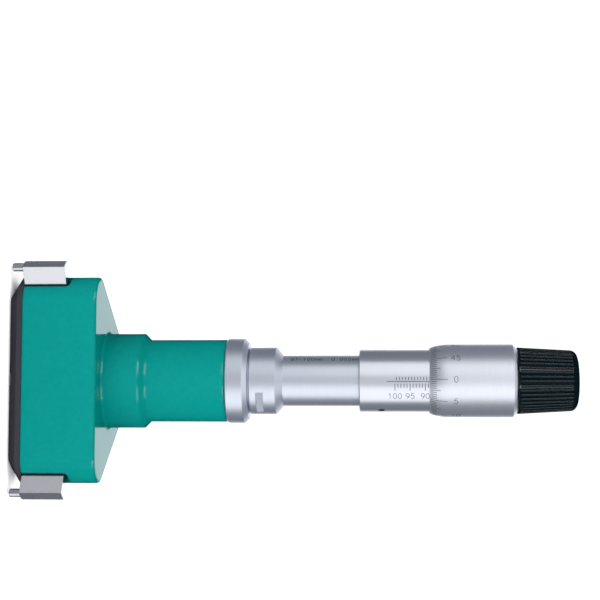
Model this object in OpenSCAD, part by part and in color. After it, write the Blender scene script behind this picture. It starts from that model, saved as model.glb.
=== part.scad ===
// Three-point inside micrometer. It stands on its head: Z runs along its axis, from the front cover
// at z = 0 up to the ratchet knob. All lengths are in millimetres.

/* [Reading] */
// smallest bore that the anvils reach
range_min = 87; // [85:0.5:91]
// how far the bore that is set lies above the smallest
opening = 1.505; // [0:0.005:13]
// travel of the anvils, counted on the bore's diameter
travel = 13; // [13:0.5:14]

/* [Head] */
// thickness of the front cover
cover_thickness = 4.4; // [4:0.1:5]
// bevel of the cover's front edge along the flat sides
cover_bevel = 2.7; // [1:0.1:3]
// how much the cover's corners are turned off at the front
corner_cut = 4.6; // [3.5:0.1:5.5]
// length of the head along the axis, behind the cover
head_depth = 24.6; // [22.5:0.1:26]
// distance from the axis to each flat side
head_flat = 23.4; // [22.4:0.1:24.4]
// radius of the three rounded corners
corner_radius = 8.8; // [8.2:0.1:9.4]
// rounding of the head's rear edge
rear_round = 0.9; // [0.3:0.1:2]
// diameter of the wide neck
neck_dia = 32; // [30:0.2:34]
// length of the wide neck, with its cone
neck_length = 14.5; // [13:0.1:17]
// diameter of the narrow neck
shank_dia = 27.8; // [26:0.1:29]
// length of the narrow neck
shank_length = 26.4; // [24:0.2:32]

/* [Anvils] */
// width of a jaw, across its measuring face
jaw_width = 5; // [4.6:0.1:5.4]
// length of a jaw along the axis
jaw_length = 13.9; // [13.8:0.1:14.6]
// gap on each side of a jaw in its pocket
jaw_gap = 0.8; // [0.5:0.1:1.1]
// diameter of the tip pins
tip_pin_dia = 2.8; // [2:0.1:3]

/* [Ring and barrel] */
// diameter of the coupling ring
ring_dia = 28.6; // [27:0.1:30]
// length of the coupling ring
ring_length = 7.4; // [5:0.1:9]
// diameter of the barrel's flange
flange_dia = 22.6; // [21.6:0.1:25]
// length of the flange
flange_length = 8.8; // [7:0.1:11]
// length of the cone between flange and grip
taper_length = 2.4; // [1.5:0.1:4]
// diameter of the slim grip
grip_dia = 17; // [16.6:0.1:18]
// length of the slim grip
grip_length = 25.6; // [24:0.2:34]

/* [Sleeve and thimble] */
// diameter of the graduated sleeve
sleeve_dia = 20.9; // [19.8:0.1:20.9]
// distance from the sleeve's front edge to its 87 mm line
scale_start = 24.905; // [22:0.005:28]
// diameter of the thimble
thimble_dia = 24.4; // [24:0.1:27]
// length of the thimble
thimble_length = 28.6; // [28:0.1:34]
// length of the thimble's graduated bevel
bevel_length = 6.3; // [4:0.1:8]

/* [Ratchet knob] */
// diameter of the knob at the thimble
knob_dia = 22.3; // [21.6:0.1:25]
// diameter of the knob at its end
knob_end_dia = 20.4; // [19.8:0.1:21.4]
// length of the knob
knob_length = 20.1; // [20:0.1:24]
// number of grip ribs
rib_count = 45; // [30:1:50]

/* [Hidden] */
$fn = 96;

// bore that is set, and the fits
reading = range_min + opening;
slide_fit = 0.03;
seat_gap = 0.02;
face_gap = 0.05;
snug = 0.01;
beyond = 1;

// stations along the axis
z_head = cover_thickness;
z_rear = z_head + head_depth;
z_neck = z_rear + neck_length;
z_shank = z_neck + shank_length;
z_ring = z_shank + ring_length;
ring_gap = 0.4;
z_flange = z_ring + ring_gap;
z_taper = z_flange + flange_length;
z_grip = z_taper + taper_length;
z_sleeve = z_grip + grip_length;
z_edge = z_sleeve + scale_start - opening;
z_end = z_edge + thimble_length;

// head outline: three corner circles joined by flats
corner_at = 2 * (head_flat - corner_radius);
corner_out = corner_at + corner_radius;
side_length = corner_at * sqrt(3);
side_step = 0.003;
side_depth = 2;
anvil_angles = [-150, -30, 90];
flat_angles = [-90, 30, 150];
front_bevel = 0.3;
corner_rim = 1.2;
base_fillet = 0.8;
neck_cone = 2;
shank_round = 0.6;

// measuring cone: one millimetre along the axis gives one millimetre of diameter
cone_slope = 0.5;
cone_tip_r = 4;
cone_dip = 1.3;
cone_start = travel - cone_dip;
cone_spare = 2.7;
cone_length = travel + cone_spare;
cone_front = z_head + cone_start - opening;
cone_back = cone_front + cone_length;
cone_back_r = cone_tip_r + cone_slope * cone_length;
cone_play = 0.45;
cavity_r = cone_back_r + cone_play;
cavity_wall = 1;
z_cavity = z_head + cone_start + cone_length + cavity_wall;
recess_r = 5.2;
recess_depth = cover_thickness / 2;
cup_r = 3.2;
cup_depth = 2.2;
cup_sink = 0.3;
cone_floor = 4;
cone_screw_length = 10;
cone_screw_head = 1.9;
cone_key_r = 1.4;
key_depth = 1.1;

// anvils
tip_r = reading / 2;
face_crown = 9;
jaw_rise = 0.2;
jaw_z = z_head + jaw_rise;
pocket_depth = 7.8;
pocket_floor = corner_out - pocket_depth;
jaw_lift = 0.55;
jaw_floor = pocket_floor + jaw_lift + opening / 2;
pocket_spare = 1.5;
pocket_length = jaw_length + pocket_spare;
pocket_round = 1.3;
pocket_reach = 12;
stem_width = 4;
stem_grip = 2.2;
stem_height = 7.7;
stem_nose = 1.4;
stem_root = 0.5;
stem_z1 = z_head + cone_start + stem_grip;
stem_z0 = stem_z1 - stem_height;
stem_nose_z = stem_z0 + stem_nose;
tip_pin_z = 0.8;
tip_pin_r = tip_pin_dia / 2;
tip_pin_back = 0.15;
tip_pin_at = tip_r - tip_pin_r - tip_pin_back;
tip_pin_depth = 4;
inlay_width = 3;
inlay_depth = 1.6;
inlay_start = 0.6;
inlay_stop = 0.8;
inlay_z = jaw_z + tip_pin_depth + inlay_start;
inlay_length = jaw_length - tip_pin_depth - inlay_start - inlay_stop;

// pull screw and spring of each anvil
pull_rise = 2.6;
pull_z = z_head + pull_rise;
pull_r = 0.8;
pull_head_r = 1.6;
pull_head = 1.4;
pull_thread = 3.5;
pull_clear = 0.95;
pull_in = cavity_r + pull_clear + opening / 2;
pull_bore_r = 1.9;
pull_wall = 4.7;
pull_seat = pocket_floor - pull_wall;
pull_hole_r = 1;
pull_coil_r = 1.35;
pull_wire_r = 0.25;
pull_turns = 7;

// cover screws
screw_inset = 4.8;
screw_at = head_flat - screw_inset;
screw_r = 1.5;
screw_head_r = 2.9;
screw_cone = screw_head_r - screw_r;
screw_sink = 0.2;
screw_length = 9;
screw_key_r = 1;

// push rod and its guides
rod_r = 4;
stub_r = 2.6;
stub_stop = 0.5;
stub_length = cone_length - cone_floor - stub_stop;
bush_r = 7;
bush_flange_r = 9;
bush_flange = 1.5;
bush_length = 12;
bush_gap = 1;
z_bush = z_cavity + bush_gap;
z_bush_top = z_bush + bush_length;
neck_bore_r = 9.85;
spigot_r = 9.8;
spigot_length = 10;
spigot_bore_r = 7.8;
collar_r = 7.4;
collar_length = 3;
collar_set = 0.495;
z_collar = z_shank - collar_set - opening;
coil_r = 6;
coil_wire_r = 0.45;
coil_turns = 6.5;
ball_r = 2;
tip_back = 35.8;
z_tip = z_edge - tip_back;
z_ball = z_tip - ball_r - seat_gap;
ball_seat = 0.5;
z_rod = z_ball - ball_seat;
rod_play = 0.04;
rod_bore_r = rod_r + rod_play;
guide_start = 4.2;
guide_length = 11;
z_guide0 = z_flange + guide_start;
z_guide1 = z_guide0 + guide_length;
wide_bore_r = 5;
nut_start = 6;
z_nut = z_sleeve + nut_start;

// barrel tube under the sleeve
tube_r = 8;
tube_end_r = 6.6;
end_wall = 3.2;
shoulder_length = 3;
top_gap = 1.3;
z_top = z_sleeve + scale_start - travel + thimble_length - end_wall - shoulder_length - top_gap;
nut_length = 5.6;
nut_gap = 0.2;
z_sleeve_end = z_top - nut_length - 2 * nut_gap;
sleeve_gap = 0.1;
slit_width = 0.8;
slit_length = 14;
nut_r = 9.6;
wrench_start = 2.4;
wrench_z = z_flange + wrench_start;
wrench_width = 2.4;
wrench_depth = 0.95;
wrench_angles = [-45, 135];
spanner_r = 1.15;
spanner_start = 7.4;
spanner_z = z_sleeve + spanner_start;
spanner_angle = -18;
spanner_depth = 1.6;

// spindle
thread_r = 4;
journal_r = 3.4;
journal_length = 11.4;
shoulder_r = 6;
stem_r = 3.5;
stem_out = 4;
stem_top = z_end + stem_out;
drive_r = 2;
drive_hole = 5;
thimble_nut_r = 6.4;
thimble_nut_height = 2;

// thimble
thimble_r = thimble_dia / 2;
thimble_play = 0.17;
thimble_bore = sleeve_dia / 2 + thimble_play;
edge_wall = 0.33;
edge_r = thimble_bore + edge_wall;
bevel_rise = thimble_r - edge_r;
bevel_arc = (bevel_rise * bevel_rise + bevel_length * bevel_length) / (2 * bevel_rise);
rear_bevel = 0.9;

// ratchet stop
wheel_r = 7.5;
wheel_start = 2.1;
wheel_z = z_end + wheel_start;
wheel_disc = 2;
wheel_rim = 0.3;
tooth_height = 0.7;
tooth_width = 2.2;
tooth_in = 4.4;
tooth_root = 0.2;
tooth_count = 12;
tooth_play = 0.97;
clutch_r = 7.3;
clutch_z = wheel_z + wheel_disc + 2 * tooth_height + face_gap;
clutch_disc = 1.85;
lug_out = 8.2;
lug_width = 1.5;
lug_step = 0.2;
lug_play = 0.1;
drive_play = 0.3;
knob_gap = 0.5;
z_knob = z_end + knob_gap;
knob_cavity_r = 7.6;
knob_cavity = 14.7;
knob_cavity_top = z_end + knob_cavity;
knob_web = 2.6;
knob_end = z_knob + knob_length;
knob_end_r = knob_end_dia / 2;
knob_round = 2.6;
knob_collar = 0.7;
rib_land = 1.9;
rib_stop = knob_length - rib_land;
rib_groove_r = 0.6;
rib_proud = 0.15;
push_coil_r = 4.6;
push_wire_r = 0.45;
push_turns = 4;
screw_top = knob_cavity_top + knob_web + face_gap;
cap_r = 4.8;
cap_length = 1.1;
cap_sink = 0.1;
drive_head_r = 4.2;
drive_head = 1.8;
drive_start = 3;
slot_width = 1;
slot_depth = 0.7;

// colours
green = [0.01, 0.58, 0.55];
charcoal = [0.17, 0.17, 0.2];
chrome = [0.85, 0.85, 0.88];
satin = [0.76, 0.79, 0.84];
carbide = [0.42, 0.42, 0.46];
steel = [0.6, 0.62, 0.65];
bronze = [0.72, 0.55, 0.3];
black = [0.06, 0.09, 0.09];

// half section of the cover's rim, out to the skin, its lower edge bevelled
module cover_rim(inner, back) {
  r = corner_radius - back;
  h = cover_thickness + beyond;
  polygon([[-inner, 0], [r - cover_bevel, 0], [r, cover_bevel], [r, h], [-inner, h]]);
}

// half section of the head's rim, lying on its rounded rear edge, with a small bevel at the front
module head_rim(inner, back) {
  r = corner_radius - back;
  h = head_depth;
  polygon([
    [-inner, 0], [r - rear_round, 0], [r - rear_round, rear_round], [r, rear_round],
    [r, h - front_bevel], [r - front_bevel - beyond, h + beyond], [-inner, h + beyond]
  ]);
  translate([r - rear_round, rear_round]) circle(r = rear_round);
}

// rounded triangle from the half sections of a corner and of a side, cut off square at the top; the sides
// lie a hair inside the corners, so that they meet at a clean line
module triangle_block(h) {
  reach = 3 * head_flat;
  difference() {
    union() {
      for (a = anvil_angles)
        translate([corner_at * cos(a), corner_at * sin(a), 0])
          rotate([0, 0, a]) rotate_extrude() children(0);
      for (a = flat_angles)
        rotate([0, 0, a])
          translate([corner_at / 2, side_length / 2, 0])
            rotate([90, 0, 0])
              linear_extrude(side_length) children(1);
      linear_extrude(h + beyond)
        polygon([for (a = anvil_angles) [corner_at * cos(a), corner_at * sin(a)]]);
    }
    translate([-reach, -reach, h]) cube([2 * reach, 2 * reach, 5 * beyond]);
  }
}

// plain ring between two radii and two stations
module ring(r_in, r_out, z0, z1) {
  rotate_extrude() translate([r_in, z0]) square([r_out - r_in, z1 - z0]);
}

// wire coil around Z between two planes; six-sided wire
module coil(mean_r, wire_r, z0, z1, turns) {
  steps = 18;
  sides = 6;
  n = round(turns * steps);
  rise = z1 - z0 - 2 * wire_r;
  pts = [
    for (i = [0 : n])
      for (j = [0 : sides - 1])
        let (r = mean_r + wire_r * cos(60 * j))
          [r * cos(20 * i), r * sin(20 * i), z0 + wire_r + rise * i / n + wire_r * sin(60 * j)]
  ];
  skin = [
    for (i = [0 : n - 1])
      for (j = [0 : sides - 1])
        let (k = (j + 1) % sides)
          for (t = [0, 1])
            t == 0
              ? [i * sides + j, i * sides + k, (i + 1) * sides + k]
              : [i * sides + j, (i + 1) * sides + k, (i + 1) * sides + j]
  ];
  first = [for (j = [sides - 1 : -1 : 0]) j];
  last = [for (j = [0 : sides - 1]) n * sides + j];
  polyhedron(points = pts, faces = concat(skin, [first, last]));
}

// turns a piece drawn along +X to its anvil's direction
module at_anvil(k) {
  rotate([0, 0, anvil_angles[k - 1]]) children();
}

module neck_skin() {
  rotate_extrude() {
    translate([0, z_rear - 2]) square([neck_dia / 2, neck_length - neck_cone + 2]);
    difference() {
      translate([neck_dia / 2 - 1, z_rear - 1]) square([base_fillet + 1, base_fillet + 1]);
      translate([neck_dia / 2 + base_fillet, z_rear + base_fillet]) circle(r = base_fillet);
    }
    polygon([
      [0, z_neck - neck_cone], [neck_dia / 2, z_neck - neck_cone], [shank_dia / 2, z_neck], [0, z_neck]
    ]);
    translate([0, z_neck]) square([shank_dia / 2, shank_length - shank_round]);
    translate([0, z_neck]) square([shank_dia / 2 - shank_round, shank_length]);
    translate([shank_dia / 2 - shank_round, z_shank - shank_round]) circle(r = shank_round);
  }
}

module pocket() {
  half = jaw_width / 2 + jaw_gap;
  translate([pocket_floor, 0, 0])
    rotate([90, 0, 90])
      linear_extrude(pocket_reach) {
        translate([-half, z_head - 1]) square([2 * half, pocket_length - pocket_round + 1]);
        translate([-half + pocket_round, z_head]) square([2 * (half - pocket_round), pocket_length]);
        for (s = [-1, 1])
          translate([s * (half - pocket_round), z_head + pocket_length - pocket_round])
            circle(r = pocket_round);
      }
}

module head_body() {
  color(green)
    difference() {
      union() {
        translate([0, 0, z_rear])
          mirror([0, 0, 1])
            triangle_block(head_depth) {
              head_rim(0, 0);
              head_rim(side_depth, side_step);
            }
        neck_skin();
      }
      // cavity of the cone, hole of the bush, bore for the spring and the barrel's spigot
      rotate_extrude() {
        translate([0, z_head - 1]) square([cavity_r, z_cavity - z_head + 1]);
        translate([0, z_cavity - 1]) square([bush_r, z_bush_top - z_cavity + 1]);
        translate([0, z_bush_top]) square([neck_bore_r, z_shank - z_bush_top + 1]);
      }
      for (k = [1 : 3])
        at_anvil(k) {
          pocket();
          translate([0, -stem_width / 2 - slide_fit, stem_z0 - slide_fit])
            cube([pocket_floor + 1, stem_width + 2 * slide_fit, stem_z1 - stem_z0 + 2 * slide_fit]);
          translate([0, 0, pull_z]) rotate([0, 90, 0]) cylinder(r = pull_bore_r, h = pull_seat);
          translate([0, 0, pull_z]) rotate([0, 90, 0]) cylinder(r = pull_hole_r, h = pocket_floor + 1);
        }
      for (a = flat_angles)
        rotate([0, 0, a]) translate([screw_at, 0, z_head - 1]) cylinder(r = screw_r, h = screw_length);
    }
}

module front_cover() {
  cut_end = cover_thickness - corner_rim;
  cut_slope = corner_cut / cut_end;
  color(charcoal)
    difference() {
      triangle_block(cover_thickness) {
        cover_rim(0, 0);
        cover_rim(side_depth, side_step);
      }
      // the corners are turned off by a cone around the axis
      rotate_extrude()
        polygon([
          [corner_out - corner_cut - cut_slope, -1], [corner_out + cut_slope, cut_end + 1],
          [2 * corner_out, cut_end + 1], [2 * corner_out, -1]
        ]);
      translate([0, 0, cover_thickness - recess_depth]) cylinder(r = recess_r, h = cover_thickness);
      for (a = flat_angles)
        rotate([0, 0, a]) translate([screw_at, 0, 0]) {
          translate([0, 0, -1]) cylinder(r = screw_r + seat_gap, h = cover_thickness + 2);
          translate([0, 0, screw_sink])
            cylinder(r1 = screw_head_r + seat_gap, r2 = screw_r + seat_gap, h = screw_cone);
          translate([0, 0, -1]) cylinder(r = screw_head_r + seat_gap, h = 1 + screw_sink);
        }
    }
}

module cover_screws() {
  color(steel)
    for (a = flat_angles)
      rotate([0, 0, a]) translate([screw_at, 0, screw_sink])
        difference() {
          union() {
            cylinder(r1 = screw_head_r, r2 = screw_r, h = screw_cone);
            cylinder(r = screw_r, h = screw_length - 1);
          }
          translate([0, 0, -1]) cylinder(r = screw_key_r, h = 1 + key_depth, $fn = 6);
        }
}

module rod_bush() {
  color(bronze)
    rotate_extrude()
      difference() {
        union() {
          translate([0, z_bush]) square([bush_r, z_bush_top - z_bush]);
          translate([0, z_bush_top]) square([bush_flange_r, bush_flange]);
        }
        translate([-1, z_bush - 1]) square([rod_r + slide_fit + 1, 2 * bush_length]);
      }
}

module coupling_ring() {
  edge = 0.5;
  slope = 1.5;
  r = ring_dia / 2;
  r_in = spigot_r + face_gap;
  color(satin)
    rotate_extrude()
      polygon([
        [r_in, z_shank], [r - edge, z_shank], [r, z_shank + edge], [r, z_ring - slope],
        [r - slope, z_ring], [r_in, z_ring]
      ]);
}

module barrel_skin() {
  edge = 0.35;
  r = flange_dia / 2;
  rotate_extrude()
    polygon([
      [0, z_shank - spigot_length], [spigot_r, z_shank - spigot_length], [spigot_r, z_flange],
      [r - edge, z_flange], [r, z_flange + edge], [r, z_taper], [grip_dia / 2, z_grip],
      [grip_dia / 2, z_sleeve], [tube_r, z_sleeve], [tube_r, z_sleeve_end], [tube_end_r, z_sleeve_end],
      [tube_end_r, z_top], [0, z_top]
    ]);
}

module barrel() {
  color(satin)
    difference() {
      barrel_skin();
      rotate_extrude() {
        translate([0, z_shank - spigot_length - 1])
          square([spigot_bore_r, z_guide0 - z_shank + spigot_length + 1]);
        translate([0, z_guide0 - 1]) square([rod_bore_r, z_guide1 - z_guide0 + 2]);
        translate([0, z_guide1]) square([wide_bore_r, z_nut - z_guide1]);
        translate([0, z_nut - 1]) square([thread_r + face_gap, z_top - z_nut + 2]);
      }
      for (a = [0 : 120 : 240])
        rotate([0, 0, a])
          translate([0, -slit_width / 2, z_top - slit_length])
            cube([tube_r + 1, slit_width, slit_length + 1]);
      for (a = wrench_angles)
        rotate([0, 0, a]) translate([flange_dia / 2 - wrench_depth, -flange_dia / 2, wrench_z])
          cube([flange_dia, flange_dia, wrench_width]);
    }
}

module adjusting_nut() {
  edge = 0.4;
  z0 = z_sleeve_end + nut_gap;
  z1 = z0 + nut_length;
  r_in = tube_end_r + seat_gap;
  color(steel)
    rotate_extrude()
      polygon([
        [r_in, z0], [nut_r, z0], [nut_r, z1 - edge], [nut_r - edge, z1], [r_in, z1]
      ]);
}

module scale_sleeve() {
  edge = 0.25;
  r = sleeve_dia / 2;
  r_in = tube_r + seat_gap;
  z0 = z_sleeve + seat_gap;
  color(satin)
    difference() {
      rotate_extrude()
        polygon([
          [r_in, z0], [r - edge, z0], [r, z0 + edge], [r, z_sleeve_end - sleeve_gap],
          [r_in, z_sleeve_end - sleeve_gap]
        ]);
      rotate([0, 0, spanner_angle]) translate([r - spanner_depth, 0, spanner_z])
        rotate([0, 90, 0]) cylinder(r = spanner_r, h = 2 * spanner_depth);
    }
}

module measuring_cone() {
  color(steel)
    rotate_extrude()
      difference() {
        polygon([[0, cone_front], [cone_tip_r, cone_front], [cone_back_r, cone_back], [0, cone_back]]);
        translate([-1, cone_front - 1]) square([1 + cup_r, 1 + cup_depth]);
        translate([-1, cone_front]) square([1 + screw_r + face_gap, cone_length]);
        translate([-1, cone_front + cone_floor]) square([1 + stub_r + seat_gap, cone_length]);
      }
}

module cone_screw() {
  color(steel)
    difference() {
      union() {
        translate([0, 0, cone_front + cup_sink]) cylinder(r = screw_head_r, h = cone_screw_head);
        translate([0, 0, cone_front + cup_sink]) cylinder(r = screw_r, h = cone_screw_length);
      }
      translate([0, 0, cone_front - 1]) cylinder(r = cone_key_r, h = 1 + cup_sink + key_depth, $fn = 6);
    }
}

module push_rod() {
  color(steel)
    difference() {
      union() {
        translate([0, 0, cone_back]) cylinder(r = rod_r, h = z_rod - cone_back);
        translate([0, 0, cone_back - stub_length]) cylinder(r = stub_r, h = stub_length + 1);
      }
      translate([0, 0, cone_front])
        cylinder(r = screw_r + seat_gap, h = cone_screw_length + 2 * beyond);
      translate([0, 0, z_ball]) sphere(r = ball_r + seat_gap);
    }
}

module spring_collar() {
  color(steel) ring(rod_r + seat_gap, collar_r, z_collar, z_collar + collar_length);
}

module return_spring() {
  z0 = z_bush_top + bush_flange + seat_gap;
  color(steel) coil(coil_r, coil_wire_r, z0, z_collar - seat_gap, coil_turns);
}

module thrust_ball() {
  color(chrome) translate([0, 0, z_ball]) sphere(r = ball_r);
}

module spindle() {
  z_shoulder = z_end - end_wall - shoulder_length;
  color(steel)
    difference() {
      rotate_extrude()
        polygon([
          [0, z_tip], [journal_r, z_tip], [journal_r, z_tip + journal_length],
          [thread_r, z_tip + journal_length], [thread_r, z_shoulder], [shoulder_r, z_shoulder],
          [shoulder_r, z_shoulder + shoulder_length],
          [stem_r, z_shoulder + shoulder_length], [stem_r, stem_top], [0, stem_top]
        ]);
      translate([0, 0, z_end - drive_hole]) cylinder(r = drive_r + seat_gap, h = drive_hole + 2 * stem_out);
    }
}

module thimble() {
  color(satin)
    rotate_extrude()
      difference() {
        union() {
          intersection() {
            translate([0, z_edge]) square([thimble_r, bevel_length]);
            translate([thimble_r - bevel_arc, z_edge + bevel_length]) circle(r = bevel_arc);
          }
          translate([0, z_edge + bevel_length])
            square([thimble_r, thimble_length - bevel_length - rear_bevel]);
          polygon([
            [0, z_end - rear_bevel], [thimble_r, z_end - rear_bevel], [thimble_r - rear_bevel, z_end],
            [0, z_end]
          ]);
        }
        translate([-1, z_edge - 1]) square([1 + thimble_bore, 1 + thimble_length - end_wall]);
        translate([-1, z_edge]) square([1 + stem_r + seat_gap, thimble_length + 1]);
      }
}

module thimble_nut() {
  color(steel)
    difference() {
      translate([0, 0, z_end + seat_gap]) cylinder(r = thimble_nut_r, h = thimble_nut_height, $fn = 6);
      translate([0, 0, z_end - 1]) cylinder(r = stem_r + seat_gap, h = 2 * thimble_nut_height + 1);
    }
}

// ring of saw teeth on the plane z = 0, pointing up
module saw_teeth() {
  for (i = [0 : tooth_count - 1])
    rotate([0, 0, i * 360 / tooth_count])
      translate([tooth_in, 0, 0])
        rotate([90, 0, 90])
          linear_extrude(wheel_r - wheel_rim - tooth_in)
            polygon([
              [-tooth_width / 2, -tooth_root], [tooth_width / 2, -tooth_root],
              [tooth_width / 2, tooth_height],
              [-tooth_width / 2, 0]
            ]);
}

module ratchet_wheel() {
  color(steel)
    difference() {
      union() {
        translate([0, 0, wheel_z]) cylinder(r = wheel_r, h = wheel_disc);
        translate([0, 0, wheel_z + wheel_disc]) saw_teeth();
      }
      translate([0, 0, z_end]) cylinder(r = stem_r + seat_gap, h = 2 * stem_out);
    }
}

module ratchet_clutch() {
  color(steel)
    difference() {
      union() {
        translate([0, 0, clutch_z]) cylinder(r = clutch_r, h = clutch_disc);
        translate([0, 0, clutch_z]) rotate([180, 0, 0]) scale(tooth_play) saw_teeth();
        translate([-lug_out, -lug_width / 2, clutch_z + lug_step])
          cube([2 * lug_out, lug_width, clutch_disc - 2 * lug_step]);
      }
      translate([0, 0, z_end]) cylinder(r = drive_r + drive_play, h = knob_cavity);
    }
}

module ratchet_spring() {
  z0 = clutch_z + clutch_disc + seat_gap;
  color(steel) coil(push_coil_r, push_wire_r, z0, knob_cavity_top - seat_gap, push_turns);
}

module ratchet_screw() {
  color(steel)
    difference() {
      union() {
        translate([0, 0, z_end - drive_start])
          cylinder(r = drive_r, h = screw_top - z_end + drive_start + 1);
        translate([0, 0, screw_top]) cylinder(r = drive_head_r, h = drive_head);
      }
      translate([-2 * drive_head_r, -slot_width / 2, screw_top + drive_head - slot_depth])
        cube([4 * drive_head_r, slot_width, 1]);
    }
}

module ratchet_knob() {
  r = knob_dia / 2;
  edge = 0.3;
  lean = atan((r - knob_end_r) / (knob_length - knob_round));
  color(black)
    difference() {
      rotate_extrude() {
        polygon([
          [0, z_knob], [r - edge, z_knob], [r, z_knob + edge], [knob_end_r, knob_end - knob_round],
          [0, knob_end - knob_round]
        ]);
        translate([0, knob_end - knob_round - 0.01]) square([knob_end_r - knob_round, knob_round + 0.01]);
        intersection() {
          translate([knob_end_r - knob_round, knob_end - knob_round]) circle(r = knob_round);
          translate([knob_end_r - knob_round - 0.01, knob_end - knob_round]) square(knob_round + 1);
        }
      }
      for (i = [0 : rib_count - 1])
        rotate([0, 0, i * 360 / rib_count])
          translate([r + rib_proud, 0, z_knob])
            rotate([0, -lean, 0])
              translate([0, 0, knob_collar]) cylinder(r = rib_groove_r, h = rib_stop - knob_collar);
      rotate_extrude() {
        translate([0, z_knob - 1]) square([knob_cavity_r, knob_cavity_top - z_knob + 1]);
        translate([0, knob_cavity_top - 1]) square([drive_r + face_gap, knob_web + 2]);
        translate([0, knob_cavity_top + knob_web]) square([cap_r, knob_length]);
      }
      translate([-lug_out - lug_play, -lug_width / 2 - lug_play, z_knob - 1])
        cube([2 * (lug_out + lug_play), lug_width + 2 * lug_play, clutch_z + clutch_disc + 2 - z_knob]);
    }
}

module knob_cap() {
  color(black)
    translate([0, 0, knob_end - cap_length - cap_sink]) cylinder(r = cap_r - snug, h = cap_length);
}

// skin of the measuring face, ground to a crown that is smaller than any bore in range
module face_limit() {
  translate([tip_r - face_crown, 0, jaw_z - 1]) cylinder(r = face_crown, h = jaw_length + 2);
}

// sloping foot of a stem: stands just off the cone
function foot_r(z) = cone_tip_r + cone_slope * (z - cone_front) + slide_fit;

module jaw() {
  color(chrome)
    difference() {
      union() {
        intersection() {
          translate([jaw_floor, -jaw_width / 2, jaw_z])
            cube([tip_r - jaw_floor + 1, jaw_width, jaw_length]);
          face_limit();
        }
        rotate([90, 0, 0])
          translate([0, 0, -stem_width / 2])
            linear_extrude(stem_width)
              polygon([
                [jaw_floor + stem_root, stem_z0], [foot_r(stem_nose_z), stem_z0],
                [foot_r(stem_nose_z), stem_nose_z], [foot_r(stem_z1), stem_z1],
                [jaw_floor + stem_root, stem_z1]
              ]);
      }
      translate([tip_r - inlay_depth, -inlay_width / 2, inlay_z])
        cube([2 * inlay_depth, inlay_width, inlay_length]);
      translate([tip_pin_at, 0, jaw_z - 1]) cylinder(r = tip_pin_r + snug, h = tip_pin_depth + 1);
      translate([jaw_floor - 1, 0, pull_z])
        rotate([0, 90, 0]) cylinder(r = pull_r + snug, h = pull_thread + 1);
    }
}

module inlay() {
  color(carbide)
    intersection() {
      translate([tip_r - inlay_depth + snug, -inlay_width / 2 + snug, inlay_z + snug])
        cube([2 * inlay_depth, inlay_width - 2 * snug, inlay_length - 2 * snug]);
      face_limit();
    }
}

module tip_pin() {
  edge = 0.25;
  length = jaw_z + tip_pin_depth - snug - tip_pin_z;
  color(carbide)
    translate([tip_pin_at, 0, tip_pin_z])
      rotate_extrude()
        polygon([[0, 0], [tip_pin_r - edge, 0], [tip_pin_r, edge], [tip_pin_r, length], [0, length]]);
}

module pull_screw() {
  color(steel)
    translate([pull_in - pull_head, 0, pull_z])
      rotate([0, 90, 0]) {
        cylinder(r = pull_head_r, h = pull_head);
        cylinder(r = pull_r, h = pull_head + jaw_floor - pull_in + pull_thread - 5 * seat_gap);
      }
}

module pull_spring() {
  color(steel)
    translate([0, 0, pull_z])
      rotate([0, 90, 0])
        coil(pull_coil_r, pull_wire_r, pull_in + seat_gap, pull_seat - seat_gap, pull_turns);
}

module anvil_1() { at_anvil(1) jaw(); }
module anvil_2() { at_anvil(2) jaw(); }
module anvil_3() { at_anvil(3) jaw(); }
module measuring_face_1() { at_anvil(1) inlay(); }
module measuring_face_2() { at_anvil(2) inlay(); }
module measuring_face_3() { at_anvil(3) inlay(); }
module tip_pin_1() { at_anvil(1) tip_pin(); }
module tip_pin_2() { at_anvil(2) tip_pin(); }
module tip_pin_3() { at_anvil(3) tip_pin(); }
module pull_screw_1() { at_anvil(1) pull_screw(); }
module pull_screw_2() { at_anvil(2) pull_screw(); }
module pull_screw_3() { at_anvil(3) pull_screw(); }
module pull_spring_1() { at_anvil(1) pull_spring(); }
module pull_spring_2() { at_anvil(2) pull_spring(); }
module pull_spring_3() { at_anvil(3) pull_spring(); }

head_body();
front_cover();
cover_screws();
rod_bush();
coupling_ring();
barrel();
adjusting_nut();
scale_sleeve();
measuring_cone();
cone_screw();
push_rod();
spring_collar();
return_spring();
thrust_ball();
spindle();
thimble();
thimble_nut();
ratchet_wheel();
ratchet_clutch();
ratchet_spring();
ratchet_screw();
ratchet_knob();
knob_cap();
anvil_1();
anvil_2();
anvil_3();
measuring_face_1();
measuring_face_2();
measuring_face_3();
tip_pin_1();
tip_pin_2();
tip_pin_3();
pull_screw_1();
pull_screw_2();
pull_screw_3();
pull_spring_1();
pull_spring_2();
pull_spring_3();
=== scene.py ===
# %% [markdown]
# # A three-point inside micrometer
# This lesson dresses the solid model of an inside micrometer. A thimble pushes a cone along the axis, and
# the cone spreads three anvils that touch the wall of a bore. The tool stands on its front cover, so Z runs
# along its axis, and the camera is turned on its side to show it lying across the picture. Lengths are in
# metres, and angles around the axis count from X towards Y.

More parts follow.
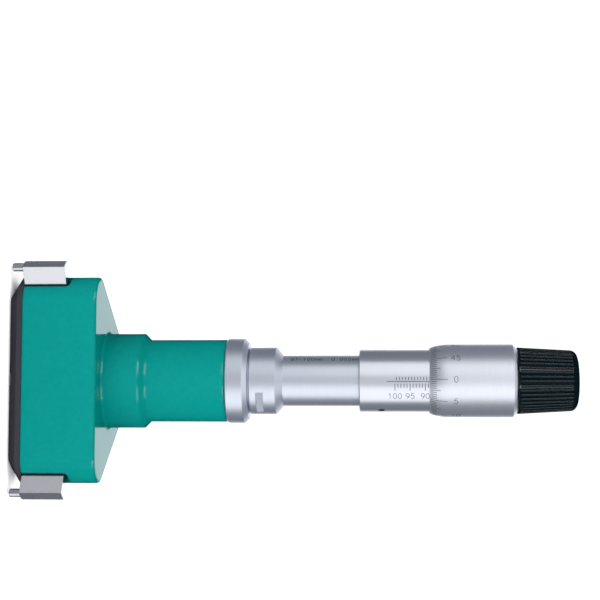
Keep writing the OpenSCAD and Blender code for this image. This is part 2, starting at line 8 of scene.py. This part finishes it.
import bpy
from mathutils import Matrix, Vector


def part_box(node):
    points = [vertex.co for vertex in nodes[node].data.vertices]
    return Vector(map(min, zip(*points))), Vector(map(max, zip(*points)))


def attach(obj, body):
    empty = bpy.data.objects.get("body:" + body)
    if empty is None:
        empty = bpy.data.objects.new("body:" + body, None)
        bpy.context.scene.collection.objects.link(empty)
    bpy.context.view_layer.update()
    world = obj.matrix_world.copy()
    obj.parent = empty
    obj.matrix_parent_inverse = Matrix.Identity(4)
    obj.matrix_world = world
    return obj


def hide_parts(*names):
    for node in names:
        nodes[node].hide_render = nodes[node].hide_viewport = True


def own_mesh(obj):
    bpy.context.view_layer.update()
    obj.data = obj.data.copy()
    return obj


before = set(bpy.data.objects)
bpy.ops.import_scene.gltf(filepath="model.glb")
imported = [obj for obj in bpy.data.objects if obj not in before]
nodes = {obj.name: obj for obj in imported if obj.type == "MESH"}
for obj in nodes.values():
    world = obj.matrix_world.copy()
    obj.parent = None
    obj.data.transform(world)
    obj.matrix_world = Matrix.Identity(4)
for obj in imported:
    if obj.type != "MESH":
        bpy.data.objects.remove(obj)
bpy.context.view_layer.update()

import bpy
import numpy as np
from mathutils import Matrix, Vector

# %% [markdown]
# ## Sizes that the marks need
# The solids know their own places, so the lines are set out from them. The thimble's front edge gives the
# reading: a line for a bore of m millimetres lies where that edge stands when the tool measures m. The
# thimble's bevel is an arc, and its radius follows from how far it rises over its length.

# %% Measure the sleeve and the thimble
MM = 0.001
reading = 88.505
sleeve_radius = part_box("scale_sleeve")[1].x
sleeve_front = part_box("scale_sleeve")[0].z
thimble_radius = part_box("thimble")[1].x
thimble_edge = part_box("thimble")[0].z
grip_radius = 8.5 * MM
bevel_length = 6.3 * MM
edge_step = 0.5 * MM
edge_radius = sleeve_radius + edge_step
bevel_rise = thimble_radius - edge_radius
bevel_arc = (bevel_rise**2 + bevel_length**2) / (2 * bevel_rise)
print("sleeve radius %.2f mm, thimble radius %.2f mm, edge at %.2f mm" % (
    sleeve_radius / MM, thimble_radius / MM, thimble_edge / MM))


def line_place(bore):
    """Place along the axis of the sleeve's line for a bore: the thimble's edge, moved by the difference."""
    return thimble_edge + (reading - bore) * MM


def sleeve_skin(z):
    """Radius of the sleeve: the same everywhere."""
    return np.full_like(z, sleeve_radius)


def thimble_skin(z):
    """Radius of the thimble: along the bevel, the height of an arc over its centre; behind it, constant."""
    ahead = np.clip(thimble_edge + bevel_length - z, 0, None)
    return thimble_radius - bevel_arc + np.sqrt(bevel_arc**2 - ahead**2)


def grip_skin(z):
    """Radius of the slim grip: the same everywhere."""
    return np.full_like(z, grip_radius)


# %% [markdown]
# ## Finishes
# Each finish starts as noise on the object's own coordinates. The noise makes two near tones of one colour,
# changes how sharp the reflections are, and lifts the skin a little. Turned metal gets a noise that is
# drawn out around the axis, as a tool leaves fine rings. Paint gets round bumps, like the peel of an orange.
# A soft edge lets light run around a corner as if it were rounded.

# %% Say how a finish is made


def finish(name, dark, light, metal, rough, spread, grain, bump, depth, shine=0.5, soft_edge=0.0):
    """A shader whose colour runs from dark to light, and its roughness by spread, with one noise."""
    mat = bpy.data.materials.new(name)
    mat.use_nodes = True
    tree = mat.node_tree
    shader = tree.nodes["Principled BSDF"]
    place = tree.nodes.new("ShaderNodeTexCoord")
    stretch = tree.nodes.new("ShaderNodeMapping")
    stretch.inputs["Scale"].default_value = grain
    noise = tree.nodes.new("ShaderNodeTexNoise")
    noise.inputs["Scale"].default_value = 1.0
    noise.inputs["Detail"].default_value = 3.0
    tone = tree.nodes.new("ShaderNodeValToRGB")
    tone.color_ramp.elements[0].position = 0.3
    tone.color_ramp.elements[0].color = (*dark, 1)
    tone.color_ramp.elements[1].position = 0.7
    tone.color_ramp.elements[1].color = (*light, 1)
    gloss = tree.nodes.new("ShaderNodeMapRange")
    gloss.inputs["To Min"].default_value = rough - spread
    gloss.inputs["To Max"].default_value = rough + spread
    lift = tree.nodes.new("ShaderNodeBump")
    lift.inputs["Strength"].default_value = bump
    lift.inputs["Distance"].default_value = depth
    shader.inputs["Metallic"].default_value = metal
    shader.inputs["Specular IOR Level"].default_value = shine
    join = tree.links.new
    join(place.outputs["Object"], stretch.inputs["Vector"])
    join(stretch.outputs["Vector"], noise.inputs["Vector"])
    join(noise.outputs["Fac"], tone.inputs["Fac"])
    join(noise.outputs["Fac"], gloss.inputs["Value"])
    join(noise.outputs["Fac"], lift.inputs["Height"])
    join(tone.outputs["Color"], shader.inputs["Base Color"])
    join(gloss.outputs["Result"], shader.inputs["Roughness"])
    join(lift.outputs["Normal"], shader.inputs["Normal"])
    if soft_edge:
        rounding = tree.nodes.new("ShaderNodeBevel")
        rounding.inputs["Radius"].default_value = soft_edge
        join(rounding.outputs["Normal"], lift.inputs["Normal"])
    return mat


round_bumps = (700, 700, 700)
fine_grain = (5000, 5000, 5000)
turned_rings = (150, 150, 12000)
print("grains of the noise, a metre:", round_bumps, fine_grain, turned_rings)

# %% Make the finishes
recipes = {
    "green_paint": dict(
        dark=(0.0003, 0.155, 0.141), light=(0.0004, 0.168, 0.152), metal=0, rough=0.13, spread=0.02,
        grain=round_bumps, bump=0.04, depth=0.05 * MM, shine=0.3, soft_edge=1.2 * MM),
    "charcoal_cover": dict(
        dark=(0.021, 0.020, 0.028), light=(0.03, 0.029, 0.038), metal=0, rough=0.42, spread=0.06,
        grain=fine_grain, bump=0.15, depth=0.02 * MM, shine=0.3),
    "sleeve_chrome": dict(
        dark=(0.74, 0.76, 0.81), light=(0.79, 0.81, 0.86), metal=1, rough=0.31, spread=0.02,
        grain=turned_rings, bump=0.0, depth=0.01 * MM),
    "grip_chrome": dict(
        dark=(0.70, 0.74, 0.81), light=(0.76, 0.80, 0.87), metal=1, rough=0.4, spread=0.03,
        grain=turned_rings, bump=0.06, depth=0.01 * MM, soft_edge=0.2 * MM),
    "thimble_chrome": dict(
        dark=(0.79, 0.81, 0.87), light=(0.85, 0.87, 0.93), metal=1, rough=0.42, spread=0.03,
        grain=turned_rings, bump=0.06, depth=0.01 * MM),
    "bright_chrome": dict(
        dark=(0.61, 0.60, 0.63), light=(0.68, 0.67, 0.70), metal=1, rough=0.2, spread=0.04,
        grain=fine_grain, bump=0.05, depth=0.01 * MM, soft_edge=0.2 * MM),
    "carbide": dict(
        dark=(0.60, 0.59, 0.62), light=(0.68, 0.67, 0.70), metal=1, rough=0.3, spread=0.05,
        grain=fine_grain, bump=0.05, depth=0.01 * MM),
    "steel": dict(
        dark=(0.42, 0.43, 0.45), light=(0.52, 0.53, 0.55), metal=1, rough=0.32, spread=0.06,
        grain=turned_rings, bump=0.06, depth=0.01 * MM),
    "bronze": dict(
        dark=(0.50, 0.33, 0.13), light=(0.60, 0.41, 0.17), metal=1, rough=0.35, spread=0.05,
        grain=turned_rings, bump=0.06, depth=0.01 * MM),
    "black_plastic": dict(
        dark=(0.0008, 0.0040, 0.0058), light=(0.0014, 0.0052, 0.0076), metal=0, rough=0.14, spread=0.02,
        grain=fine_grain, bump=0.05, depth=0.01 * MM, shine=0.3),
    # This black colours the printed lines and numbers, and it is also the painted shade inside the spanner's
    # hole.
    "ink_and_painted_shade": dict(
        dark=(0.018, 0.018, 0.022), light=(0.035, 0.035, 0.042), metal=0, rough=0.5, spread=0.08,
        grain=fine_grain, bump=0.05, depth=0.005 * MM, shine=0.2),
}
looks = {name: finish(name, **recipe) for name, recipe in recipes.items()}
print("finishes:", ", ".join(looks))

# %% Dress the solids
three = (1, 2, 3)
worn_by = {
    "green_paint": ["head_body"],
    "charcoal_cover": ["front_cover"],
    "sleeve_chrome": ["scale_sleeve"],
    "grip_chrome": ["coupling_ring", "barrel"],
    "thimble_chrome": ["thimble"],
    "bright_chrome": ["thrust_ball"] + ["anvil_%d" % k for k in three],
    "carbide": ["measuring_face_%d" % k for k in three] + ["tip_pin_%d" % k for k in three],
    "bronze": ["rod_bush"],
    "black_plastic": ["ratchet_knob", "knob_cap"],
}
dressed = {node: look for look, members in worn_by.items() for node in members}
for name, solid in nodes.items():
    solid.data.materials.clear()
    solid.data.materials.append(looks[dressed.get(name, "steel")])
print("solids in plain steel:", len(nodes) - len(dressed))

# %% [markdown]
# ## Lines on round skins
# A line is a small patch of a skin: one parameter goes around the axis, the other along it. All lines of a
# scale are worked out at once, as one array. They lie a fiftieth of a millimetre proud, like ink that fills
# an engraving, and each has enough steps along it to follow the bevel. The scales are set out from the side
# that faces the camera.

# %% Tools for laying ink on a skin
ink_rise = 0.018 * MM
facing = np.radians(-88.75)
print("the scales face an angle of %.2f degrees" % np.degrees(facing))


def on_skin(skin, angle, z):
    """Points at a height of ink_rise over the skin, from an angle around the axis and a place along it."""
    radius = skin(z) + ink_rise
    return np.stack([radius * np.cos(angle), radius * np.sin(angle), z], axis=-1)


def mesh_of(name, grids, body, look="ink_and_painted_shade"):
    """One mesh of several grids of points: each square of a grid is a face, turned to the outside."""
    points, faces, first = [], [], 0
    for grid in grids:
        stack = grid.reshape(-1, *grid.shape[-3:])
        copies, rows, columns = stack.shape[:3]
        index = first + np.arange(copies * rows * columns).reshape(copies, rows, columns)
        corners = [index[:, :-1, :-1], index[:, 1:, :-1], index[:, 1:, 1:], index[:, :-1, 1:]]
        faces.append(np.stack(corners, axis=-1).reshape(-1, 4))
        points.append(stack.reshape(-1, 3))
        first += copies * rows * columns
    points, faces = np.concatenate(points), np.concatenate(faces)
    mesh = bpy.data.meshes.new(name)
    mesh.from_pydata(points.tolist(), [], faces.tolist())
    mesh.polygons.foreach_set("use_smooth", np.ones(len(faces), bool))
    mesh.materials.append(looks[look])
    piece = bpy.data.objects.new(name, mesh)
    bpy.context.scene.collection.objects.link(piece)
    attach(piece, body)
    print(name, "faces:", len(faces))
    return piece


def patches(skin, angle_from, angle_to, z_from, z_to, around, along):
    """Many patches: a straight mix of the two angles, and of the two places, on one grid for all."""
    across = np.linspace(0, 1, around + 1)[None, :, None]
    forward = np.linspace(0, 1, along + 1)[None, None, :]
    start, stop, low, high = (
        np.asarray(v, float)[:, None, None] for v in np.broadcast_arrays(angle_from, angle_to, z_from, z_to))
    angle = start + (stop - start) * across + 0 * forward
    return on_skin(skin, angle, low + (high - low) * forward + 0 * across)


# %% [markdown]
# ## The sleeve's scale
# One line runs along the sleeve, and the thimble's lines are read against it. Below it stand the
# millimetres of bore, longer at every fifth. Above it stand the half millimetres. Counting runs backwards,
# since the thimble moves towards the head as the bore grows.

# %% Rule the sleeve
index_angle = facing + np.radians(1.3)
line_width = 0.2 * MM
full_start, full_end, fifth_end = 0.7 * MM, 2.1 * MM, 3.1 * MM
half_start, half_end = -1.55 * MM, -0.45 * MM
index_bores = 102.7, 86.6


def below(distance, radius):
    """Angle at a distance under the index line, measured around the skin."""
    return index_angle + np.asarray(distance) / radius


bores = np.arange(87, 101)
halves = np.arange(87.5, 100)
full_lines = patches(
    sleeve_skin, below(full_start, sleeve_radius),
    below(np.where(bores % 5 == 0, fifth_end, full_end), sleeve_radius),
    line_place(bores) - line_width / 2, line_place(bores) + line_width / 2, around=14, along=1)
half_lines = patches(
    sleeve_skin, below(half_start, sleeve_radius), below(half_end, sleeve_radius),
    line_place(halves) - line_width / 2, line_place(halves) + line_width / 2, around=8, along=1)
index_line = patches(
    sleeve_skin, [below(-line_width / 2, sleeve_radius)], below(line_width / 2, sleeve_radius),
    line_place(index_bores[0]), line_place(index_bores[1]), around=2, along=24)
mesh_of("sleeve_lines", [full_lines, half_lines, index_line], "sleeve_set")

# %% [markdown]
# ## The thimble's scale
# A hundred lines go around the bevel, so that each is worth five thousandths of a millimetre. Every fifth
# is longer, and every tenth longest. The second line from zero stands at the index, because the reading ends
# in five thousandths.

# %% Rule the thimble
marks = np.arange(100)
mark_at_index = 1
mark_step = np.radians(3.6)
line_angle = index_angle + mark_step * (marks - mark_at_index)
line_start = 0.5 * MM
short_end, fifth_mark_end, tenth_mark_end = 2.3 * MM, 3.6 * MM, 5.8 * MM
line_end = np.where(marks % 10 == 0, tenth_mark_end, np.where(marks % 5 == 0, fifth_mark_end, short_end))
half_width = 0.07 * MM / edge_radius
thimble_lines = patches(
    thimble_skin, line_angle - half_width, line_angle + half_width,
    thimble_edge + line_start, thimble_edge + line_end, around=1, along=16)
mesh_of("thimble_lines", [thimble_lines], "thimble_set")

# %% [markdown]
# ## Numbers
# Engraved numbers are drawn with a round cutter, so each stroke is a path with a width. A ribbon is that
# path moved half its width to the left and to the right, where left is the path's direction turned by a
# right angle. The ribbons are then wrapped on the skin: along the text is along the axis, up is around it.

# %% Draw the signs


def bow(middle_x, middle_y, wide, tall, start, stop):
    """Part of an ellipse, from one angle in degrees to another."""
    turn = np.radians(np.linspace(start, stop, 25))
    return np.stack([middle_x + wide * np.cos(turn), middle_y + tall * np.sin(turn)], 1)


def straight(*corners):
    """Separate straight strokes from corner to corner, with points between."""
    share = np.linspace(0, 1, 9)[:, None]
    ends = np.array(corners, float)
    return [a + (b - a) * share for a, b in zip(ends[:-1], ends[1:])]


strokes = {
    "0": [bow(0.3, 0.5, 0.3, 0.5, 90, 450)],
    "1": straight((0.1, 0.76), (0.33, 1), (0.33, 0)),
    "2": [bow(0.3, 0.7, 0.28, 0.3, 170, -40)] + straight((0.51, 0.5), (0.02, 0), (0.6, 0)),
    "3": [bow(0.28, 0.76, 0.25, 0.24, 150, -90), bow(0.28, 0.27, 0.3, 0.27, 90, -150)],
    "4": straight((0.44, 0), (0.44, 1), (0, 0.28), (0.62, 0.28)),
    "5": straight((0.55, 1), (0.1, 1), (0.06, 0.55)) + [bow(0.27, 0.33, 0.31, 0.33, 135, -145)],
    "7": straight((0, 1), (0.58, 1), (0.2, 0)),
    "8": [bow(0.3, 0.76, 0.25, 0.24, 0, 360), bow(0.3, 0.27, 0.3, 0.27, 0, 360)],
    "9": [bow(0.3, 0.69, 0.29, 0.31, 0, 360), bow(0.05, 0.69, 0.54, 0.69, 0, -75)],
    "-": straight((0.1, 0.45), (0.5, 0.45)),
    ".": straight((0.26, 0), (0.26, 0.1)),
    "m": straight((0, 0), (0, 0.66))
    + [bow(0.16, 0.46, 0.16, 0.2, 170, 0), bow(0.48, 0.46, 0.16, 0.2, 180, 0)]
    + straight((0.32, 0.46), (0.32, 0)) + straight((0.64, 0.46), (0.64, 0)),
    " ": [],
}
sign_wide, advance = 0.6, 0.86
print("signs:", len(strokes))


def number(text, skin, radius, angle, z, tall, width):
    """Ribbons of a text centred on an angle and a place, and wrapped on the skin, with digits so tall."""
    ribbons = []
    start = -(advance * (len(text) - 1) + sign_wide) / 2
    for place, sign in enumerate(text):
        for path in strokes[sign]:
            path = (path + [start + advance * place, -0.5]) * tall
            along = np.gradient(path, axis=0)
            along /= np.linalg.norm(along, axis=1, keepdims=True)
            left = np.stack([-along[:, 1], along[:, 0]], 1) * width / 2
            flat = np.stack([path - left, path + left], axis=1)
            ribbons.append(on_skin(skin, angle - flat[..., 1] / radius, z + flat[..., 0]))
    return ribbons


# %% Write the numbers
cutter = 0.16 * MM
sleeve_text_below = 5.05 * MM
thimble_text_back = 8.6 * MM
range_text_above = np.radians(58)
range_text_ahead = 11.5 * MM
sleeve_numbers = []
for bore in (100, 95, 90):
    sleeve_numbers += number(str(bore), sleeve_skin, sleeve_radius, below(sleeve_text_below, sleeve_radius),
                             line_place(bore), tall=1.9 * MM, width=cutter)
mesh_of("sleeve_numbers", sleeve_numbers, "sleeve_set")
thimble_numbers = []
for mark in range(0, 100, 10):
    thimble_numbers += number(str(mark // 2), thimble_skin, thimble_radius, line_angle[mark],
                              thimble_edge + thimble_text_back, tall=2.0 * MM, width=cutter)
mesh_of("thimble_numbers", thimble_numbers, "thimble_set")
range_words = number("87-100mm  0.005mm", grip_skin, grip_radius, facing - range_text_above,
                     sleeve_front - range_text_ahead, tall=1.6 * MM, width=0.2 * MM)
mesh_of("range_words", range_words, "frame")

# %% [markdown]
# ## The spanner's hole
# A pin spanner turns the sleeve to set its zero. The inside of the hole lies in shade, so a tube of painted
# shade lines it in black, and its top follows the sleeve: at a side step s from the hole's axis, a cylinder
# of radius R stands at the root of R squared less s squared.

# %% Line the hole with painted shade
hole_radius = 1.14 * MM
hole_angle = np.radians(-18)
hole_place = sleeve_front + 7.38 * MM
hole_floor = sleeve_radius - 1.58 * MM
under_skin = 0.03 * MM
round_hole = np.linspace(0, 2 * np.pi, 49)[:, None]
side_step, lift_step = hole_radius * np.cos(round_hole), hole_radius * np.sin(round_hole)
rim = np.sqrt(sleeve_radius**2 - side_step**2) - under_skin
depth = hole_floor + (rim - hole_floor) * np.linspace(0, 1, 5)
painted_hole_shade = np.stack([
    depth * np.cos(hole_angle) - side_step * np.sin(hole_angle),
    depth * np.sin(hole_angle) + side_step * np.cos(hole_angle),
    hole_place + lift_step + 0 * depth], axis=-1)
# The tube takes the ink's black as painted shade, where the inside of the hole is dark.
mesh_of("spanner_hole_painted_shade", [painted_hole_shade], "sleeve_set")

# %% [markdown]
# ## Springs that give way
# Inside the head, one spring brings the rod back and three small ones draw the anvils in. A coil is a round
# wire whose centre climbs evenly while it turns. These coils stand in for the solid springs, and each rides
# on one body.

# %% Wind the rod's spring
steps_a_turn = 24
wire_sides = 12


def coil(coil_radius, wire, start, stop, turns):
    """A wire around Z: its centre climbs evenly, and it thins over an eighth of a turn at both ends."""
    climb = np.linspace(0, 1, int(steps_a_turn * turns) + 1)[:, None]
    turn = 2 * np.pi * turns * climb
    round_wire = np.linspace(0, 2 * np.pi, wire_sides + 1)
    thickness = wire * np.sqrt(np.clip(8 * turns * np.minimum(climb, 1 - climb), 0.01, 1))
    reach = coil_radius + thickness * np.cos(round_wire)
    level = start + wire + (stop - start - 2 * wire) * climb + thickness * np.sin(round_wire)
    return np.stack([reach * np.cos(turn), reach * np.sin(turn), level], axis=-1)


rod_wire = 0.45 * MM
low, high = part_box("return_spring")
rod_coil = coil(high.x - rod_wire, rod_wire, low.z, high.z, turns=6.5)
rod_spring = mesh_of("return_coil", [rod_coil], "frame", "steel")
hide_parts("return_spring")
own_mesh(rod_spring)

# %% Wind the anvils' springs
anvil_angles = np.radians([-150, -30, 90])
pull_wire = 0.25 * MM
low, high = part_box("pull_spring_3")
pull_level = (low.z + high.z) / 2
flat_coil = coil(high.x - pull_wire, pull_wire, low.y, high.y, turns=7)
for k, angle in enumerate(anvil_angles, start=1):
    outward = np.array([np.cos(angle), np.sin(angle), 0])
    sideways = np.array([-np.sin(angle), np.cos(angle), 0])
    pull_coil = (flat_coil[..., 2:] * outward + flat_coil[..., :1] * sideways
                 + (pull_level + flat_coil[..., 1:2]) * np.array([0, 0, 1]))
    pull_spring = mesh_of("pull_coil_%d" % k, [pull_coil], "jaw_set_%d" % k, "steel")
    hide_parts("pull_spring_%d" % k)
    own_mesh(pull_spring)

# %% [markdown]
# ## Floor and tent
# The tool stands on a pale floor in a white room. Shiny metal shows the room, so a tent of dim cloth hangs
# around it that only reflections see. The metal then has something dark between its lights.

# %% Lay the floor and hang the tent


def stage_piece(name, points, faces, mat):
    """A piece of the studio, which isn't part of the tool."""
    mesh = bpy.data.meshes.new(name)
    mesh.from_pydata(points.tolist(), [], faces.tolist())
    mesh.materials.append(mat)
    piece = bpy.data.objects.new(name, mesh)
    bpy.context.scene.collection.objects.link(piece)
    return piece


floor_half = 40
floor_level = -0.2 * MM
floor_corners = floor_half * np.array([[-1, -1, 0], [1, -1, 0], [1, 1, 0], [-1, 1, 0]], float)
floor_corners[:, 2] = floor_level
floor_white = finish("floor_white", dark=(0.90, 0.90, 0.91), light=(0.93, 0.93, 0.94), metal=0, rough=0.9,
                     spread=0.02, grain=(3, 3, 3), bump=0.0, depth=MM, shine=0.1)
floor = stage_piece("floor", floor_corners, np.array([[0, 1, 2, 3]]), floor_white)
floor.visible_glossy = False

tent_radius = 3
tent_step = 15
turn, rise = np.meshgrid(np.radians(np.arange(0, 360, tent_step)),
                         np.radians(np.arange(-90, 91, tent_step)), indexing="ij")
tent_points = tent_radius * np.stack(
    [np.cos(rise) * np.cos(turn), np.cos(rise) * np.sin(turn), np.sin(rise)], -1)
columns, rows = turn.shape
corner = np.arange(columns * rows).reshape(columns, rows)
beside = np.roll(corner, -1, axis=0)
tent_faces = np.stack([corner[:, :-1], corner[:, 1:], beside[:, 1:], beside[:, :-1]], -1).reshape(-1, 4)
tent_cloth = bpy.data.materials.new("tent_cloth")
tent_cloth.use_nodes = True
cloth = tent_cloth.node_tree.nodes["Principled BSDF"]
cloth.inputs["Base Color"].default_value = (0, 0, 0, 1)
cloth.inputs["Specular IOR Level"].default_value = 0
cloth.inputs["Emission Color"].default_value = (0.80, 0.86, 1.0, 1)
cloth.inputs["Emission Strength"].default_value = 0.24
tent = stage_piece("dark_tent", tent_points.reshape(-1, 3), tent_faces, tent_cloth)
tent.visible_camera = tent.visible_diffuse = tent.visible_shadow = tent.visible_transmission = False
print("tent faces:", len(tent_faces))

# %% [markdown]
# ## Light
# One large light from the camera's side brings out colours and leaves no mirror image of itself. One small
# light behind the tool reaches every piece too. All others reach only some pieces, and the floor. Metal has a
# wide soft light on each side of the camera, along the whole tool, so that each round part carries two soft
# bands between darker rims. The thimble has such a pair of its own, a little narrower. Paint and plastic
# would look grey under wide lights, so each has two small bright ones, which leave only thin highlights.

# %% Tools for lighting


def soft_light(name, place, wide, long, glow, tint=(1, 1, 1), mirrored=True, lit=True):
    """A rectangle of light that faces the axis; its power is pi times glow times area."""
    data = bpy.data.lights.new(name, "AREA")
    data.shape = "RECTANGLE"
    data.size, data.size_y = wide, long
    data.energy = np.pi * wide * long * glow
    data.color = tint
    lamp = bpy.data.objects.new(name, data)
    lamp.location = place
    overhead = abs(place[0]) + abs(place[1]) < place[2] / 2
    out = Vector((0, 0, 1)) if overhead else Vector((place[0], place[1], 0))
    lamp.rotation_mode = "QUATERNION"
    lamp.rotation_quaternion = out.to_track_quat("Z", "Y")
    lamp.visible_camera = False
    lamp.visible_glossy = mirrored
    lamp.visible_diffuse = lit
    bpy.context.scene.collection.objects.link(lamp)
    return lamp


def around_axis(degrees, distance, rise):
    """A place at an angle below the camera's side, around the axis, at a distance from it and a height."""
    angle = facing + np.radians(degrees)
    return distance * np.cos(angle), distance * np.sin(angle), rise


def shine_only_on(source, members):
    """Let a light reach only the floor and some solids."""
    reached = bpy.data.collections.new(source.name + "_reaches")
    for member in [floor] + [nodes[name] for name in members]:
        reached.objects.link(member)
    source.light_linking.receiver_collection = reached


painted = ["head_body", "front_cover"]
plastic = ["ratchet_knob", "knob_cap"]
metal = [name for name in nodes if name not in painted + plastic]
print("solids of metal:", len(metal))

# %% Set the lights
soft_light("light_key", around_axis(15, 1.2, 0.3), wide=1.0, long=1.0, glow=4.9, mirrored=False)
soft_light("light_behind", (0, 0.9, 0.28), wide=0.3, long=0.45, glow=1.4, tint=(0.9, 0.95, 1))
reaches = [
    (metal, [
        tent,
        soft_light("light_front_low", around_axis(0, 0.9, 0.0), wide=0.62, long=0.16, glow=0.65),
        soft_light("light_front_high", around_axis(0, 0.9, 0.47), wide=0.62, long=0.6, glow=0.85),
        soft_light("light_jaws", around_axis(-56, 0.8, -0.2), wide=0.3, long=0.2, glow=0.52),
        soft_light("light_overhead", (0, -0.1, 1.1), wide=1.0, long=1.0, glow=0.8),
        soft_light("light_back_left", around_axis(-159, 0.9, 0.4), wide=0.3, long=1.6, glow=0.9),
        soft_light("light_back_right", around_axis(159, 0.9, 0.4), wide=0.3, long=1.6, glow=0.9),
    ]),
    ([name for name in metal if name != "thimble"], [
        soft_light("light_above", around_axis(-46, 0.8, 0.60), wide=0.80, long=1.3, glow=0.94),
        soft_light("light_below", around_axis(52, 0.8, 0.40), wide=0.97, long=1.7, glow=1.04),
    ]),
    (["thimble"], [
        soft_light("thimble_above", around_axis(-41.5, 0.8, 0.60), wide=0.65, long=1.3, glow=0.97),
        soft_light("thimble_below", around_axis(41, 0.8, 0.40), wide=0.72, long=1.7, glow=1.08),
    ]),
    (painted, [
        soft_light("edge_above", around_axis(-36, 0.8, 0.75), wide=0.5, long=0.6, glow=9.0, lit=False),
        soft_light("edge_below", around_axis(36, 0.8, 0.75), wide=0.5, long=0.6, glow=9.0, lit=False),
    ]),
    (plastic, [
        soft_light("knob_above", around_axis(-40, 0.8, 0.35), wide=0.2, long=0.5, glow=4.0, lit=False),
        soft_light("knob_below", around_axis(21, 0.8, 0.35), wide=0.1, long=0.5, glow=11.0, lit=False),
    ]),
]
for members, sources in reaches:
    for source in sources:
        shine_only_on(source, members)
world = bpy.data.worlds.new("white_room")
bpy.context.scene.world = world
world.use_nodes = True
sky = world.node_tree.nodes["Background"]
sky.inputs["Color"].default_value = (1, 1, 1, 1)
sky.inputs["Strength"].default_value = 1.15
world.cycles.sampling_method = "NONE"
bpy.context.scene.view_settings.view_transform = "Standard"
print("sources that reach only some pieces:", sum(len(sources) for members, sources in reaches))

# %% [markdown]
# ## Camera
# The camera stands on the side that the scales face, and aims past the tool so that it lies below the middle
# of the picture. It is rolled until the axis runs from left to right: its right hand then has no part across
# the axis.

# %% Set the camera
eye_distance, eye_rise = 0.4847, 0.1284
aim_rise, aim_past = 0.0943, 0.0274
across = Vector((-np.sin(facing), np.cos(facing), 0))
eye = Vector(around_axis(0, eye_distance, eye_rise))
aim = Vector((0, 0, aim_rise)) - aim_past * across
forward = (aim - eye).normalized()
right = across.cross(forward).normalized()
up = right.cross(forward)
lens = bpy.data.cameras.new("camera")
lens.lens = 85.93
lens.sensor_width = 36
camera = bpy.data.objects.new("camera", lens)
camera.matrix_world = Matrix.Translation(eye) @ Matrix((right, up, -forward)).transposed().to_4x4()
bpy.context.scene.collection.objects.link(camera)
bpy.context.scene.camera = camera
print("camera %.0f mm from the axis" % (eye.xy.length / MM))
